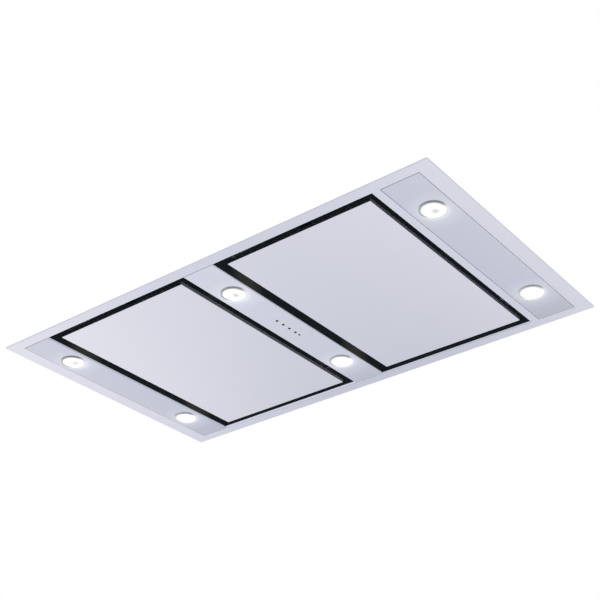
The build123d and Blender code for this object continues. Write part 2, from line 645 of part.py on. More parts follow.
with BuildPart() as hinge_hangers:
    for panel, port, side in HINGES:
        wall = port[side > 0]
        x = pivot_x(panel, side)
        for y in (-HINGE_Y, HINGE_Y):
            for cheek in ((y - CHEEK_OUTER, y - CHEEK_INNER), (y + CHEEK_INNER, y + CHEEK_OUTER)):
                block((wall, x - side * POST_FRONT), cheek, (BEAM_BOTTOM, BEAM_TOP))
                block((x + side * POST_BACK, x - side * POST_FRONT), cheek, (PIVOT_Z, BEAM_BOTTOM))
                rod_y(EAR_RADIUS, cheek, (x, PIVOT_Z))
                rod_y(PIN_RADIUS, cheek, (x, PIVOT_Z), Mode.SUBTRACT)
            block((wall, wall - side * CHEEK), (y - CHEEK_OUTER, y + CHEEK_OUTER), (BEAM_BOTTOM, BEAM_TOP))
save(hinge_hangers, "hinge_hangers")

with BuildPart() as hinge_pins:
    for panel, port, side in HINGES:
        axis = (pivot_x(panel, side), PIVOT_Z)
        for y in (-HINGE_Y, HINGE_Y):
            rod_y(PIN_RADIUS, (y - CHEEK_OUTER, y + CHEEK_OUTER), axis)
            for end in (-1, 1):
                outer = y + end * CHEEK_OUTER
                rod_y(PIN_HEAD_RADIUS, sorted((outer, outer + end * PIN_HEAD)), axis)
save(hinge_pins, "hinge_pins")

LEAF_BOTTOM = PANEL_BACK + CATCH_RISE
LEAF_TOP = LEAF_BOTTOM + CATCH_SHEET

with BuildPart() as catch_brackets:
    for panel, port, side in HINGES:
        wall, edge = port[side < 0], panel[side < 0]
        for y in (-CATCH_Y, CATCH_Y):
            reach = (y - CATCH_WIDTH / 2, y + CATCH_WIDTH / 2)
            block((wall, edge + side * CATCH_OVERLAP), reach, (LEAF_BOTTOM, LEAF_TOP))
            block((wall, wall + side * CATCH_SHEET), reach, (LEAF_BOTTOM, LEAF_BOTTOM + CATCH_BACK))
save(catch_brackets, "catch_brackets")

with BuildPart() as catch_magnets:
    for panel, port, side in HINGES:
        tip = panel[side < 0] + side * CATCH_OVERLAP
        for y in (-CATCH_Y, CATCH_Y):
            block((tip, tip - side * MAGNET_LENGTH), (y - MAGNET_WIDTH / 2, y + MAGNET_WIDTH / 2),
                  (PANEL_BACK + KEEPER_SHEET + MAGNET_GAP, LEAF_BOTTOM))
save(catch_magnets, "catch_magnets")

# --------------------------------------------------------------------- housing
for name, end in (("housing_front", -1), ("housing_rear", 1)):
    with BuildPart() as wall:
        block(both(HOUSING_X + HOUSING_SHEET), (end * HOUSING_Y, end * (HOUSING_Y + HOUSING_SHEET)),
              (FLANGE_BACK, TOP_UNDER))
        block(both(HOUSING_X), (end * (HOUSING_Y - HOUSING_RETURN), end * HOUSING_Y),
              (TOP_UNDER - HOUSING_SHEET, TOP_UNDER))
    save(wall, name)

for name, end in (("housing_left", -1), ("housing_right", 1)):
    inner, outer = end * HOUSING_X, end * (HOUSING_X + HOUSING_SHEET)
    fold = end * (HOUSING_X - HOUSING_RETURN)
    flange_top = TOP_UNDER - HOUSING_SHEET
    with BuildPart() as wall:
        block((inner, outer), both(HOUSING_Y), (FLANGE_BACK, flange_top))
        block((fold, inner), both(HOUSING_Y - HOUSING_SHEET), (flange_top - HOUSING_SHEET, flange_top))
        for side in (-1, 1):
            block((fold, inner), (side * (HOUSING_Y - HOUSING_SHEET), side * HOUSING_Y),
                  (WALL_TOP, flange_top))
    save(wall, name)

OUTER_X = HOUSING_X + HOUSING_SHEET
OUTER_Y = HOUSING_Y + HOUSING_SHEET
SPIGOT_BORE = SPIGOT_RADIUS - SPIGOT_SHEET

with BuildPart() as housing_top:
    block(both(OUTER_X), both(OUTER_Y), (TOP_UNDER, HOUSING_HEIGHT))
    for y in (-OUTER_Y + BEAD_INSET, OUTER_Y - BEAD_INSET):
        for side in (-1, 1):
            block((side * SPIGOT_FLANGE_RADIUS, side * (OUTER_X - BEAD_INSET)),
                  (y - BEAD_WIDTH / 2, y + BEAD_WIDTH / 2),
                  (HOUSING_HEIGHT, HOUSING_HEIGHT + BEAD_HEIGHT))
    fillet(housing_top.edges().filter_by(Axis.X).group_by(Axis.Z)[-1], BEAD_HEIGHT / 2)
    rod(SPIGOT_BORE, (0, 0), (TOP_UNDER, HOUSING_HEIGHT), Mode.SUBTRACT)
save(housing_top, "housing_top")

with BuildPart() as hanger_brackets:
    for x in (-OUTER_X + HANGER_INSET_X, OUTER_X - HANGER_INSET_X):
        for y in (-OUTER_Y + HANGER_INSET_Y, OUTER_Y - HANGER_INSET_Y):
            width = (y - HANGER_WIDTH / 2, y + HANGER_WIDTH / 2)
            bridge = HOUSING_HEIGHT + HANGER_RISE
            block((x - HANGER_SPAN / 2, x + HANGER_SPAN / 2), width,
                  (HOUSING_HEIGHT, bridge + HANGER_SHEET))
            block((x - HANGER_SPAN / 2 + HANGER_SHEET, x + HANGER_SPAN / 2 - HANGER_SHEET), width,
                  (HOUSING_HEIGHT, bridge), Mode.SUBTRACT)
            for side in (-1, 1):
                heel = x + side * HANGER_SPAN / 2
                block((heel, heel + side * HANGER_FOOT), width,
                      (HOUSING_HEIGHT, HOUSING_HEIGHT + HANGER_SHEET))
            rod(ROD_HOLE_RADIUS, (x, y), (bridge, bridge + HANGER_SHEET), Mode.SUBTRACT)
save(hanger_brackets, "hanger_brackets")

# ---------------------------------------------------------------------- blower
# quarter arcs about the corners of a small square, each larger than the last
STEP = SCROLL_GROWTH / 2
RADII = [SCROLL_RADIUS + quarter * SCROLL_GROWTH for quarter in range(3)]
SCROLL_FRONT = STEP + RADII[2]                       # the outlet's far wall, from the shaft
SHAFT_Y = -(SCROLL_FRONT - OUTLET_WIDTH / 2)         # puts the outlet under the duct collar
SHAFT_Z = COLLAR_TOP + SCROLL_CLEARANCE + STEP + RADII[1]
SHAFT_AXIS = (SHAFT_Y, SHAFT_Z)


def scroll_outline(inset):
    """The scroll's outline in Y and Z, drawn this far inside its sheet."""
    first, second, third = (radius - inset for radius in RADII)
    mid_1 = (SHAFT_Y - STEP, SHAFT_Z - STEP)
    mid_2 = (SHAFT_Y + STEP, SHAFT_Z - STEP)
    mid_3 = (SHAFT_Y + STEP, SHAFT_Z + STEP)
    cutoff = SHAFT_Y + SCROLL_FRONT - OUTLET_WIDTH + inset
    lip = mid_1[1] + first
    far = mid_3[0] + third
    with BuildLine() as outline:
        CenterArc(mid_1, first, 90, 90)
        CenterArc(mid_2, second, 180, 90)
        CenterArc(mid_3, third, 270, 90)
        Polyline((far, mid_3[1]), (far, TOP_UNDER), (cutoff, TOP_UNDER), (cutoff, lip), (mid_1[0], lip))
    return outline.line


def scroll_half(side):
    """One half of the scroll, from its middle plane out to its side plate and inlet."""
    outer = side * SCROLL_WIDTH / 2
    with BuildPart() as half:
        with BuildSketch(Plane.YZ):
            add(scroll_outline(0))
            make_face()
        extrude(amount=outer)
        with BuildSketch(Plane.YZ):
            add(scroll_outline(SCROLL_SHEET))
            make_face()
        extrude(amount=outer - side * SCROLL_SHEET, mode=Mode.SUBTRACT)
        rod_x(INLET_RADIUS + SCROLL_SHEET, (outer, outer + side * INLET_LIP), SHAFT_AXIS)
        rod_x(INLET_RADIUS, (0, outer + side * INLET_LIP), SHAFT_AXIS, Mode.SUBTRACT)
    return half


save(scroll_half(-1), "scroll_half_left")
save(scroll_half(1), "scroll_half_right")

with BuildPart() as impeller:
    blade_mid = (IMPELLER_RADIUS + IMPELLER_BORE) / 2
    blade_depth = (IMPELLER_RADIUS - IMPELLER_BORE) / math.cos(math.radians(BLADE_ANGLE))
    with BuildSketch(Plane.YZ.offset(-IMPELLER_WIDTH / 2)):
        with Locations(SHAFT_AXIS):
            with PolarLocations(blade_mid, BLADE_COUNT):
                Rectangle(blade_depth, BLADE_SHEET, rotation=BLADE_ANGLE)
    extrude(amount=IMPELLER_WIDTH)
    for x in ((-IMPELLER_WIDTH / 2, -IMPELLER_WIDTH / 2 + IMPELLER_RING),
              (IMPELLER_WIDTH / 2 - IMPELLER_RING, IMPELLER_WIDTH / 2)):
        rod_x(IMPELLER_RADIUS, x, SHAFT_AXIS)
        rod_x(IMPELLER_BORE, x, SHAFT_AXIS, Mode.SUBTRACT)
    rod_x(IMPELLER_RADIUS, both(BACKPLATE / 2), SHAFT_AXIS)
    rod_x(HUB_RADIUS, (-BACKPLATE / 2, HUB_LENGTH), SHAFT_AXIS)
    rod_x(SHAFT_RADIUS, (-BACKPLATE / 2, HUB_LENGTH), SHAFT_AXIS, Mode.SUBTRACT)
save(impeller, "impeller")

MOTOR_END = -BACKPLATE / 2 - MOTOR_GAP
MOTOR_START = MOTOR_END - MOTOR_LENGTH
SHAFT_START = MOTOR_START + MOTOR_BACK

with BuildPart() as motor:
    rod_x(MOTOR_RADIUS, (MOTOR_START, MOTOR_END), SHAFT_AXIS)
    fillet(motor.edges().filter_by(GeomType.CIRCLE), MOTOR_ROUND)
    rod_x(SHAFT_RADIUS + SHAFT_FIT, (SHAFT_START - SHAFT_FIT, MOTOR_END), SHAFT_AXIS, Mode.SUBTRACT)
save(motor, "motor")

with BuildPart() as motor_shaft:
    rod_x(SHAFT_RADIUS, (SHAFT_START, HUB_LENGTH), SHAFT_AXIS)
    chamfer(motor_shaft.edges().sort_by(Axis.X)[-1], SHAFT_CHAMFER)
save(motor_shaft, "motor_shaft")

with BuildPart() as motor_bracket:
    plate_x = -SCROLL_WIDTH / 2
    ring_x = (MOTOR_START + MOTOR_GAP, MOTOR_START + MOTOR_GAP + BRACKET_SHEET)
    rod_x(MOTOR_RADIUS + BRACKET_RING, ring_x, SHAFT_AXIS)
    with BuildSketch(Plane.YZ.offset(ring_x[0])):
        with Locations(SHAFT_AXIS):
            with PolarLocations((MOTOR_RADIUS + BRACKET_REACH) / 2, 3, start_angle=90):
                Rectangle(BRACKET_REACH - MOTOR_RADIUS, BRACKET_ARM)
    extrude(amount=BRACKET_SHEET)
    with BuildSketch(Plane.YZ.offset(ring_x[0])):
        with Locations(SHAFT_AXIS):
            with PolarLocations((INLET_RADIUS + BRACKET_REACH) / 2 + BRACKET_SHEET, 3, start_angle=90):
                Rectangle(BRACKET_REACH - INLET_RADIUS - 2 * BRACKET_SHEET, BRACKET_ARM)
    extrude(amount=plate_x - ring_x[0])
    rod_x(MOTOR_RADIUS, ring_x, SHAFT_AXIS, Mode.SUBTRACT)
save(motor_bracket, "motor_bracket")

# ------------------------------------------------------------------ duct collar
SPIGOT_BASE = HOUSING_HEIGHT + SPIGOT_FLANGE
SPIGOT_TOP = SPIGOT_BASE + SPIGOT_LENGTH
SEAT_TOP = SPIGOT_BASE + FLAP_HEIGHT
FLAP_BOTTOM = SEAT_TOP + FLAP_LIFT
FLAP_PIN_Z = FLAP_BOTTOM + FLAP_SHEET + BARREL_RADIUS / 2
FLAP_RADIUS = SPIGOT_BORE - FLAP_FIT

with BuildPart() as outlet_collar:
    rod(SPIGOT_FLANGE_RADIUS, (0, 0), (HOUSING_HEIGHT, SPIGOT_BASE))
    rod(SPIGOT_RADIUS, (0, 0), (SPIGOT_BASE, SPIGOT_TOP))
    rod(SPIGOT_BORE, (0, 0), (HOUSING_HEIGHT, SPIGOT_TOP), Mode.SUBTRACT)
    rod(SPIGOT_BORE, (0, 0), (SEAT_TOP - FLAP_SEAT_HEIGHT, SEAT_TOP))
    rod(SPIGOT_BORE - FLAP_SEAT, (0, 0), (SEAT_TOP - FLAP_SEAT_HEIGHT, SEAT_TOP), Mode.SUBTRACT)
    rod_y(FLAP_PIN_RADIUS, both(SPIGOT_RADIUS - SPIGOT_SHEET / 2), (0, FLAP_PIN_Z), Mode.SUBTRACT)
save(outlet_collar, "outlet_collar")

with BuildPart() as flap_pin:
    rod_y(FLAP_PIN_RADIUS, both(SPIGOT_RADIUS - SPIGOT_SHEET / 2), (0, FLAP_PIN_Z))
save(flap_pin, "flap_pin")

BARREL_PITCH = 2 * (FLAP_RADIUS - BARREL_RADIUS) / BARREL_COUNT


def outlet_flap(side):
    """A half-round flap with every second barrel of the hinge on its straight edge."""
    with BuildPart() as flap:
        rod(FLAP_RADIUS, (0, 0), (FLAP_BOTTOM, FLAP_BOTTOM + FLAP_SHEET))
        block((-side * SPIGOT_RADIUS, side * BARREL_GAP), both(SPIGOT_RADIUS),
              (FLAP_BOTTOM, FLAP_BOTTOM + FLAP_SHEET), Mode.SUBTRACT)
        for turn in range(BARREL_COUNT):
            start = (turn - BARREL_COUNT / 2) * BARREL_PITCH + BARREL_GAP
            stretch = (start, start + BARREL_PITCH - 2 * BARREL_GAP)
            own = turn % 2 == (side > 0)
            if own:
                rod_y(BARREL_RADIUS, stretch, (0, FLAP_PIN_Z))
                block((0, side * BARREL_RADIUS * 2), stretch, (FLAP_BOTTOM, FLAP_BOTTOM + FLAP_SHEET))
            else:
                clear = BARREL_RADIUS + BARREL_GAP
                block((0, side * clear), (stretch[0] - BARREL_GAP, stretch[1] + BARREL_GAP),
                      (FLAP_BOTTOM, FLAP_BOTTOM + FLAP_SHEET), Mode.SUBTRACT)
        rod_y(FLAP_PIN_RADIUS + FLAP_PIN_FIT, both(SPIGOT_RADIUS), (0, FLAP_PIN_Z), Mode.SUBTRACT)
    return flap


save(outlet_flap(-1), "outlet_flap_left")
save(outlet_flap(1), "outlet_flap_right")

# --------------------------------------------------------------- electrical box
ELECTRICAL_X = (BOX_X - BOX_LENGTH / 2, BOX_X + BOX_LENGTH / 2)
BOX_TOP = HOUSING_HEIGHT + BOX_HEIGHT
GLAND_Z = HOUSING_HEIGHT + BOX_HEIGHT / 2

with BuildPart() as electrical_box:
    block(ELECTRICAL_X, both(BOX_WIDTH / 2), (HOUSING_HEIGHT, BOX_TOP))
    block((ELECTRICAL_X[0] + BOX_SHEET, ELECTRICAL_X[1] - BOX_SHEET), both(BOX_WIDTH / 2 - BOX_SHEET),
          (HOUSING_HEIGHT + BOX_SHEET, BOX_TOP), Mode.SUBTRACT)
    rod_x(GLAND_THREAD_RADIUS, (ELECTRICAL_X[1] - BOX_SHEET, ELECTRICAL_X[1]), (0, GLAND_Z), Mode.SUBTRACT)
save(electrical_box, "electrical_box")

with BuildPart() as electrical_lid:
    shell = LID_FIT + BOX_SHEET
    block((ELECTRICAL_X[0] - shell, ELECTRICAL_X[1] + shell), both(BOX_WIDTH / 2 + shell),
          (BOX_TOP - LID_LIP, BOX_TOP + BOX_SHEET))
    fillet(electrical_lid.faces().sort_by(Axis.Z)[-1].edges(), BOX_SHEET / 2)
    block((ELECTRICAL_X[0] - LID_FIT, ELECTRICAL_X[1] + LID_FIT), both(BOX_WIDTH / 2 + LID_FIT),
          (BOX_TOP - LID_LIP, BOX_TOP), Mode.SUBTRACT)
save(electrical_lid, "electrical_lid")

with BuildPart() as cable_gland:
    gland_face = ELECTRICAL_X[1]
    with BuildSketch(Plane.YZ.offset(gland_face)):
        with Locations((0, GLAND_Z)):
            RegularPolygon(GLAND_NUT_RADIUS, 6)
    extrude(amount=GLAND_NUT / 2)
    rod_x(GLAND_CAP_RADIUS, (gland_face + GLAND_NUT / 2, gland_face + GLAND_NUT), (0, GLAND_Z))
    rod_x(GLAND_THREAD_RADIUS, (gland_face - GLAND_INSIDE, gland_face), (0, GLAND_Z))
    rod_x(GLAND_BORE, (gland_face - GLAND_INSIDE, gland_face + GLAND_NUT), (0, GLAND_Z), Mode.SUBTRACT)
save(cable_gland, "cable_gland")

# ---------------------------------------------------------------------- screws
EDGE_X = OUTER_X - SCREW_INSET
EDGE_Y = OUTER_Y - SCREW_INSET
SCREW_SPOTS = []
for side in (-1, 1):
    for i in range(LONG_SCREW_COUNT):
        SCREW_SPOTS.append((EDGE_X * (2 * i / (LONG_SCREW_COUNT - 1) - 1), side * EDGE_Y, HOUSING_HEIGHT))
    for i in range(1, SHORT_SCREW_COUNT + 1):
        SCREW_SPOTS.append((side * EDGE_X, EDGE_Y * (2 * i / (SHORT_SCREW_COUNT + 1) - 1), HOUSING_HEIGHT))
    for x in (ELECTRICAL_X[0] + SCREW_INSET, ELECTRICAL_X[1] - SCREW_INSET):
        SCREW_SPOTS.append((x, side * (BOX_WIDTH / 2 - SCREW_INSET), BOX_TOP + BOX_SHEET))

with BuildPart() as cover_screws:
    for x, y, z in SCREW_SPOTS:
        top = z + SCREW_HEAD_HEIGHT
        rod(SCREW_HEAD_RADIUS, (x, y), (z, top))
        block((x - SCREW_SLOT_LENGTH / 2, x + SCREW_SLOT_LENGTH / 2),
              (y - SCREW_SLOT_WIDTH / 2, y + SCREW_SLOT_WIDTH / 2),
              (top - SCREW_SLOT_DEPTH, top), Mode.SUBTRACT)
save(cover_screws, "cover_screws")
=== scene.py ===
"""The looks of the ceiling hood: finishes, lamps, trims, filters, fasteners, light and camera.

Metres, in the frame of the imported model: X along the hood's long side, Z up into
the ceiling. The hood is seen from below, so the floor lies far under it.
"""

import json
import math

import bmesh
import bpy
from mathutils import Matrix, Vector


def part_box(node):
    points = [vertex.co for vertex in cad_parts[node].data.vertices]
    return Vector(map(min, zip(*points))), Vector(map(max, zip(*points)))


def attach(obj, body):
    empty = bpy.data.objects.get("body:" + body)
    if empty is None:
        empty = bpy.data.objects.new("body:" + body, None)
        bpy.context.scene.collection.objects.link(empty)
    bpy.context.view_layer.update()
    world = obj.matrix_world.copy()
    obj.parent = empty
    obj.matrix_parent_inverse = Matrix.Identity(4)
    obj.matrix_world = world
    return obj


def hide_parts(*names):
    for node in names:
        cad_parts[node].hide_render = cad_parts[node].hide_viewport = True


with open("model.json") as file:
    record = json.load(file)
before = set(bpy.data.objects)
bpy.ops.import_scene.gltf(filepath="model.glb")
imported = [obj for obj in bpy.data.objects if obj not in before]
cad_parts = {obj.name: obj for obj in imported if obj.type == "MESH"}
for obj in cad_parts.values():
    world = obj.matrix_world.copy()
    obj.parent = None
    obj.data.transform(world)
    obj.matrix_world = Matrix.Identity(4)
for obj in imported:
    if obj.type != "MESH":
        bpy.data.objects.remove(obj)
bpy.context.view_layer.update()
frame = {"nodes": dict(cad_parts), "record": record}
MM = 0.001
BLACK = (0.0, 0.0, 0.0)
WHITE = (1.0, 1.0, 1.0)

# ------------------------------------------------------------------ camera
CAMERA_PLACE = Vector((1.5107, -1.9113, -1.3849))
CAMERA_AIM = Vector((0.0916, -0.0859, 0.0))
CAMERA_ROLL = math.radians(-0.249)
LENS_LENGTH = 71.889
SENSOR_WIDTH = 36.0

# ------------------------------------------------------------------- stage
FLOOR_LEVEL = -3.4
FLOOR_REACH = 60.0
STAGE_COLOUR = (0.82, 0.82, 0.83)       # of the floor and the ceiling
WORLD_LEVEL = 0.85                      # what falls on the hood, where 1 is white
KEY_LIGHT = {"place": (-2.5, -2.6, -2.0), "aim": (0, 0, 0), "size": 2.8, "power": 10.0}
TOP_LIGHT = {"place": (-2.2, -2.4, 3.0), "aim": (0, 0, 0.2), "size": 4.0, "power": 55.0}

# What reflections see of the floor: an even glow, with a pool of light on it whose
# brightness curves across it (X) and leans along it (Y).
FLOOR_GLOW = 0.8
POOL_MIDDLE = (-3.4, 4.7)
POOL_SPAN = (2.0, 1.2)                  # the unit of the coordinates in the pool
POOL_LEVEL = 0.98                       # brightness in its middle
POOL_BOWL = 0.31
POOL_TILT = (-0.01, -0.09)
POOL_TWIST = 0.04
POOL_LIMITS = (0.6, 1.6)
POOL_REACH = (4.4, 6.4)                 # from its middle: fully lit up to, and gone beyond
POOL_WARM = (1.06, 1.01, 0.90)          # its colour where it is brightest

CEILING_LEVEL = 0.3 * MM
CEILING_REACH = 8.0
CEILING_CUTOUT = 3.0 * MM               # play round the housing

# ------------------------------------------------------------ steel colours
BORDER_STEEL = (0.575, 0.596, 0.715)
PANEL_STEEL = (0.608, 0.625, 0.735)
# The strips' own steel colour, each set darker or lighter to stand in for how it reflects the
# light: partly painted shade
STRIP_STEEL_AND_SHADE = {"light_strip_left": (0.467, 0.492, 0.618),
               "control_strip": (0.590, 0.617, 0.727),
               "light_plate_right": (0.495, 0.522, 0.640)}
# Painted shade: the share of a strip's colour that it is darkened to at its +Y end
STRIP_FAR_END_SHADE = {"light_strip_left": 0.90, "control_strip": 0.86,
                 "light_plate_right": 0.86}       # of a strip's colour at its +Y end
TRIM_STEEL = (0.62, 0.65, 0.77)
ALONG_X, ALONG_Y = 0, 1                 # the axis that the brush lines follow

# ------------------------------------------------------------------- lamps
LAMP_COUNT = 6
LAMP_SPREAD = 80.0 * MM                 # vertices closer than this belong to one lens


def centres(node, count):
    """The centres of a node's separate solids, taken from its vertices by clustering in X and Y."""
    spots = []
    for vertex in frame["nodes"][node].data.vertices:
        point = Vector((vertex.co.x, vertex.co.y))
        for spot in spots:
            if (spot[0] - point).length < LAMP_SPREAD:
                spot.append(point)
                break
        else:
            spots.append([point])
    middles = []
    for points in spots:
        xs, ys = [p.x for p in points], [p.y for p in points]
        middles.append(((min(xs) + max(xs)) / 2, (min(ys) + max(ys)) / 2))
    assert len(middles) == count, f"{node} has {len(middles)} solids"
    return middles


LAMPS = sorted(centres("lamp_lenses", LAMP_COUNT))
LAMP_COLUMNS = sorted({lamp[0] for lamp in LAMPS})
LAMP_Y = LAMPS[-1][1]
LAMP_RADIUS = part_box("lamp_bezels")[1].x - LAMPS[-1][0]
LENS_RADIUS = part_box("lamp_lenses")[1].x - LAMPS[-1][0]


# ------------------------------------------------------------ node building
class Socket:
    """A node's output. Arithmetic on it adds Math nodes to its finish."""

    def __init__(self, finish, output):
        self.finish = finish
        self.output = output

    def __add__(self, other):
        return self.finish.math("ADD", self, other)

    def __sub__(self, other):
        return self.finish.math("SUBTRACT", self, other)

    def __mul__(self, other):
        return self.finish.math("MULTIPLY", self, other)

    def __truediv__(self, other):
        return self.finish.math("DIVIDE", self, other)

    __radd__ = __add__
    __rmul__ = __mul__


class Finish:
    """A node tree being built, for a material or the world."""

    def __init__(self, owner):
        owner.use_nodes = True
        self.tree = owner.node_tree
        self.tree.nodes.clear()

    def node(self, kind, settings=None, values=None, output=0):
        """Add a node, set its settings, then the values or links of its inputs."""
        made = self.tree.nodes.new(kind)
        for name, setting in (settings or {}).items():
            setattr(made, name, setting)
        for name, value in (values or {}).items():
            if isinstance(value, Socket):
                self.tree.links.new(value.output, made.inputs[name])
            else:
                made.inputs[name].default_value = value
        return Socket(self, made.outputs[output]) if made.outputs else None

    def math(self, operation, *terms):
        return self.node("ShaderNodeMath", {"operation": operation}, dict(enumerate(terms)))

    def vector(self, operation, first, second):
        return self.node("ShaderNodeVectorMath", {"operation": operation}, {0: first, 1: second})

    def mix(self, factor, first, second):
        """Blend two colours."""
        first, second = (c if isinstance(c, Socket) else (*c, 1.0) for c in (first, second))
        return self.node("ShaderNodeMix", {"data_type": "RGBA"},
                         {0: factor, 6: first, 7: second}, output=2)

    def between(self, factor, low, high):
        """A number that runs from low to high with a factor from 0 to 1."""
        return low + (high - low) * factor

    def place(self):
        """The point on the surface, in the hood's frame."""
        return self.node("ShaderNodeTexCoord", output="Object")

    def facing(self):
        """The surface's direction, in the hood's frame."""
        return self.node("ShaderNodeTexCoord", output="Normal")

    def axes(self, point):
        """A point's three coordinates."""
        split = self.node("ShaderNodeSeparateXYZ", values={0: point})
        outputs = split.output.node.outputs
        return [Socket(self, outputs[i]) for i in range(3)]

    def length(self, first, second):
        return self.math("SQRT", first * first + second * second)

    def from_lamp(self, point):
        """How far a point lies from the middle of the lamp next to it, along X and Y."""
        x, y, _ = self.axes(point)
        middle = LAMP_COLUMNS[0]
        for before, after in zip(LAMP_COLUMNS, LAMP_COLUMNS[1:]):
            past = self.math("GREATER_THAN", x, (before + after) / 2)
            middle = middle + (after - before) * past
        return x - middle, y - self.math("SIGN", y) * LAMP_Y

    def seen_by(self, *kinds):
        """1 for these kinds of ray, such as Camera or Glossy, and 0 for all others."""
        path = self.node("ShaderNodeLightPath").output.node.outputs
        seen, *others = (Socket(self, path[f"Is {kind} Ray"]) for kind in kinds)
        for other in others:
            seen = self.math("MAXIMUM", seen, other)
        return seen

    def noise(self, point, scale, detail=2.0, stretch=(1.0, 1.0, 1.0)):
        stretched = self.vector("MULTIPLY", point, stretch)
        return self.node("ShaderNodeTexNoise", {"noise_dimensions": "3D"},
                         {"Vector": stretched, "Scale": scale, "Detail": detail})

    def ramp(self, factor, low, high):
        """0 at one value, 1 at the other, even between; either may be the larger."""
        return self.node("ShaderNodeMapRange", {"clamp": True},
                         {"Value": factor, "From Min": low, "From Max": high})

    def bump(self, height, strength, distance):
        return self.node("ShaderNodeBump", values={"Height": height, "Strength": strength,
                                                   "Distance": distance})

    def surface(self, **inputs):
        """Close a material with one Principled shader."""
        values = {name.replace("_", " "): value for name, value in inputs.items()}
        for name in ("Base Color", "Emission Color"):
            if name in values and not isinstance(values[name], Socket):
                values[name] = (*values[name], 1.0)
        shader = self.node("ShaderNodeBsdfPrincipled", values=values)
        self.node("ShaderNodeOutputMaterial", values={"Surface": shader})


def shade(colour, factor):
    return tuple(channel * factor for channel in colour)


def new_material(name):
    material = bpy.data.materials.new(name)
    return material, Finish(material)


# ---------------------------------------------------------------- finishes
# Each finish has a dark and a light shade and two limits of roughness, and noises
# that run between them. A share is how much one noise adds to the tone.
GRAIN_STRETCH = 0.012                   # the noise's pace along the brush lines
HAIR_SHARE, STREAK_SHARE, CLOUD_SHARE = 0.45, 0.35, 0.2
STEEL_SHADES = (0.955, 1.045)           # of a steel's colour
STEEL_ROUGHNESS = (0.27, 0.37)
PANEL_EDGE_COARSENESS = 0.4
FAR_END_SHADE_SPAN = (0.2, 0.33)              # Y where a strip's painted shade starts, and is darkest
# Painted light: glow on the lamp strips that stands in for the lamps' spill and halo
SPILL_SHIFT = (-1.0 * MM, 8.5 * MM)     # middle of the light round a lamp
SPILL_REACH = 70.0 * MM
SPILL_LIGHT = (0.075, 0.08, 0.075)
HALO_LIGHT = (0.20, 0.195, 0.17)        # right beside the lamp
HALO_FALLOFF = 10.0


def satin_steel(name, colour, grain, edge_coarseness=0.0, far_end_shade=None):
    """Brushed stainless: hair lines along one axis, broad faint streaks and soft clouding.

    Folds that turn to face along X may be coarser than the brushed faces. A strip with lamps,
    the only kind given a far-end shade, gets their spill and halo painted on as glow and painted
    shade towards its +Y end.
    """
    material, f = new_material(name)
    place = f.place()
    across = [1.0, 1.0, 1.0]
    across[grain] = GRAIN_STRETCH
    hair = f.noise(place, scale=2400.0, detail=3.0, stretch=across)
    streak = f.noise(place, scale=160.0, stretch=across)
    cloud = f.noise(place, scale=5.0)
    tone = HAIR_SHARE * hair + STREAK_SHARE * streak + CLOUD_SHARE * cloud
    inputs = {"Base_Color": f.mix(tone, *(shade(colour, factor) for factor in STEEL_SHADES)),
              "Metallic": 1.0,
              "Roughness": f.between(tone, *STEEL_ROUGHNESS),
              "Normal": f.bump(hair, strength=0.08, distance=0.04 * MM)}
    if edge_coarseness:
        inputs["Roughness"] += edge_coarseness * f.math("ABSOLUTE", f.axes(f.facing())[0])
    if far_end_shade:
        # Painted shade: the strip darkens towards its +Y end
        painted_far_shade = f.ramp(f.axes(place)[1], *FAR_END_SHADE_SPAN)
        inputs["Base_Color"] = f.mix(painted_far_shade, inputs["Base_Color"], shade(colour, far_end_shade))
        # Painted light: the lamps' spill and halo, as glow on the steel
        u, v = f.from_lamp(place)
        from_light = f.length(u - SPILL_SHIFT[0], v - SPILL_SHIFT[1])
        near = f.ramp(from_light, SPILL_REACH, LAMP_RADIUS)
        spread = f.mix(near, BLACK, SPILL_LIGHT)
        inputs["Emission_Color"] = f.mix(f.math("POWER", near, HALO_FALLOFF), spread, HALO_LIGHT)
        inputs["Emission_Strength"] = 1.0
    f.surface(**inputs)
    return material


GALVANISED_SHADES = ((0.33, 0.345, 0.36), (0.56, 0.575, 0.59))
GALVANISED_ROUGHNESS = (0.3, 0.5)
CRYSTAL_SHARE, FINE_SHARE, BLOOM_SHARE = 0.45, 0.25, 0.3


def galvanised(name):
    """Zinc-coated sheet: small flat crystals of slightly different greys, under a soft bloom."""
    material, f = new_material(name)
    place = f.place()
    crystal = f.node("ShaderNodeTexVoronoi", {"feature": "F1"}, {"Vector": place, "Scale": 150.0},
                     output="Color")
    grey = f.node("ShaderNodeSeparateColor", values={0: crystal})
    fine = f.noise(place, scale=420.0, detail=3.0)
    bloom = f.noise(place, scale=7.0, detail=3.0)
    tone = CRYSTAL_SHARE * grey + FINE_SHARE * fine + BLOOM_SHARE * bloom
    f.surface(Base_Color=f.mix(tone, *GALVANISED_SHADES),
              Metallic=0.9,
              Roughness=f.between(tone, *GALVANISED_ROUGHNESS),
              Normal=f.bump(fine, strength=0.1, distance=0.1 * MM))
    return material


COAT_SHADES = ((0.005, 0.007, 0.007), (0.010, 0.013, 0.012))
COAT_ROUGHNESS = (0.65, 0.8)
PAINTED_SCATTER_GLOW = (0.006, 0.009, 0.010)      # painted light: a faint glow for light scattered in the slots, even where no light falls
PAINTED_LAMP_GLOW_ON_BLACK = (0.035, 0.036, 0.028)     # painted light: the lamps' light on the coating, as glow
PAINTED_LAMP_GLOW_REACH = 72.0 * MM


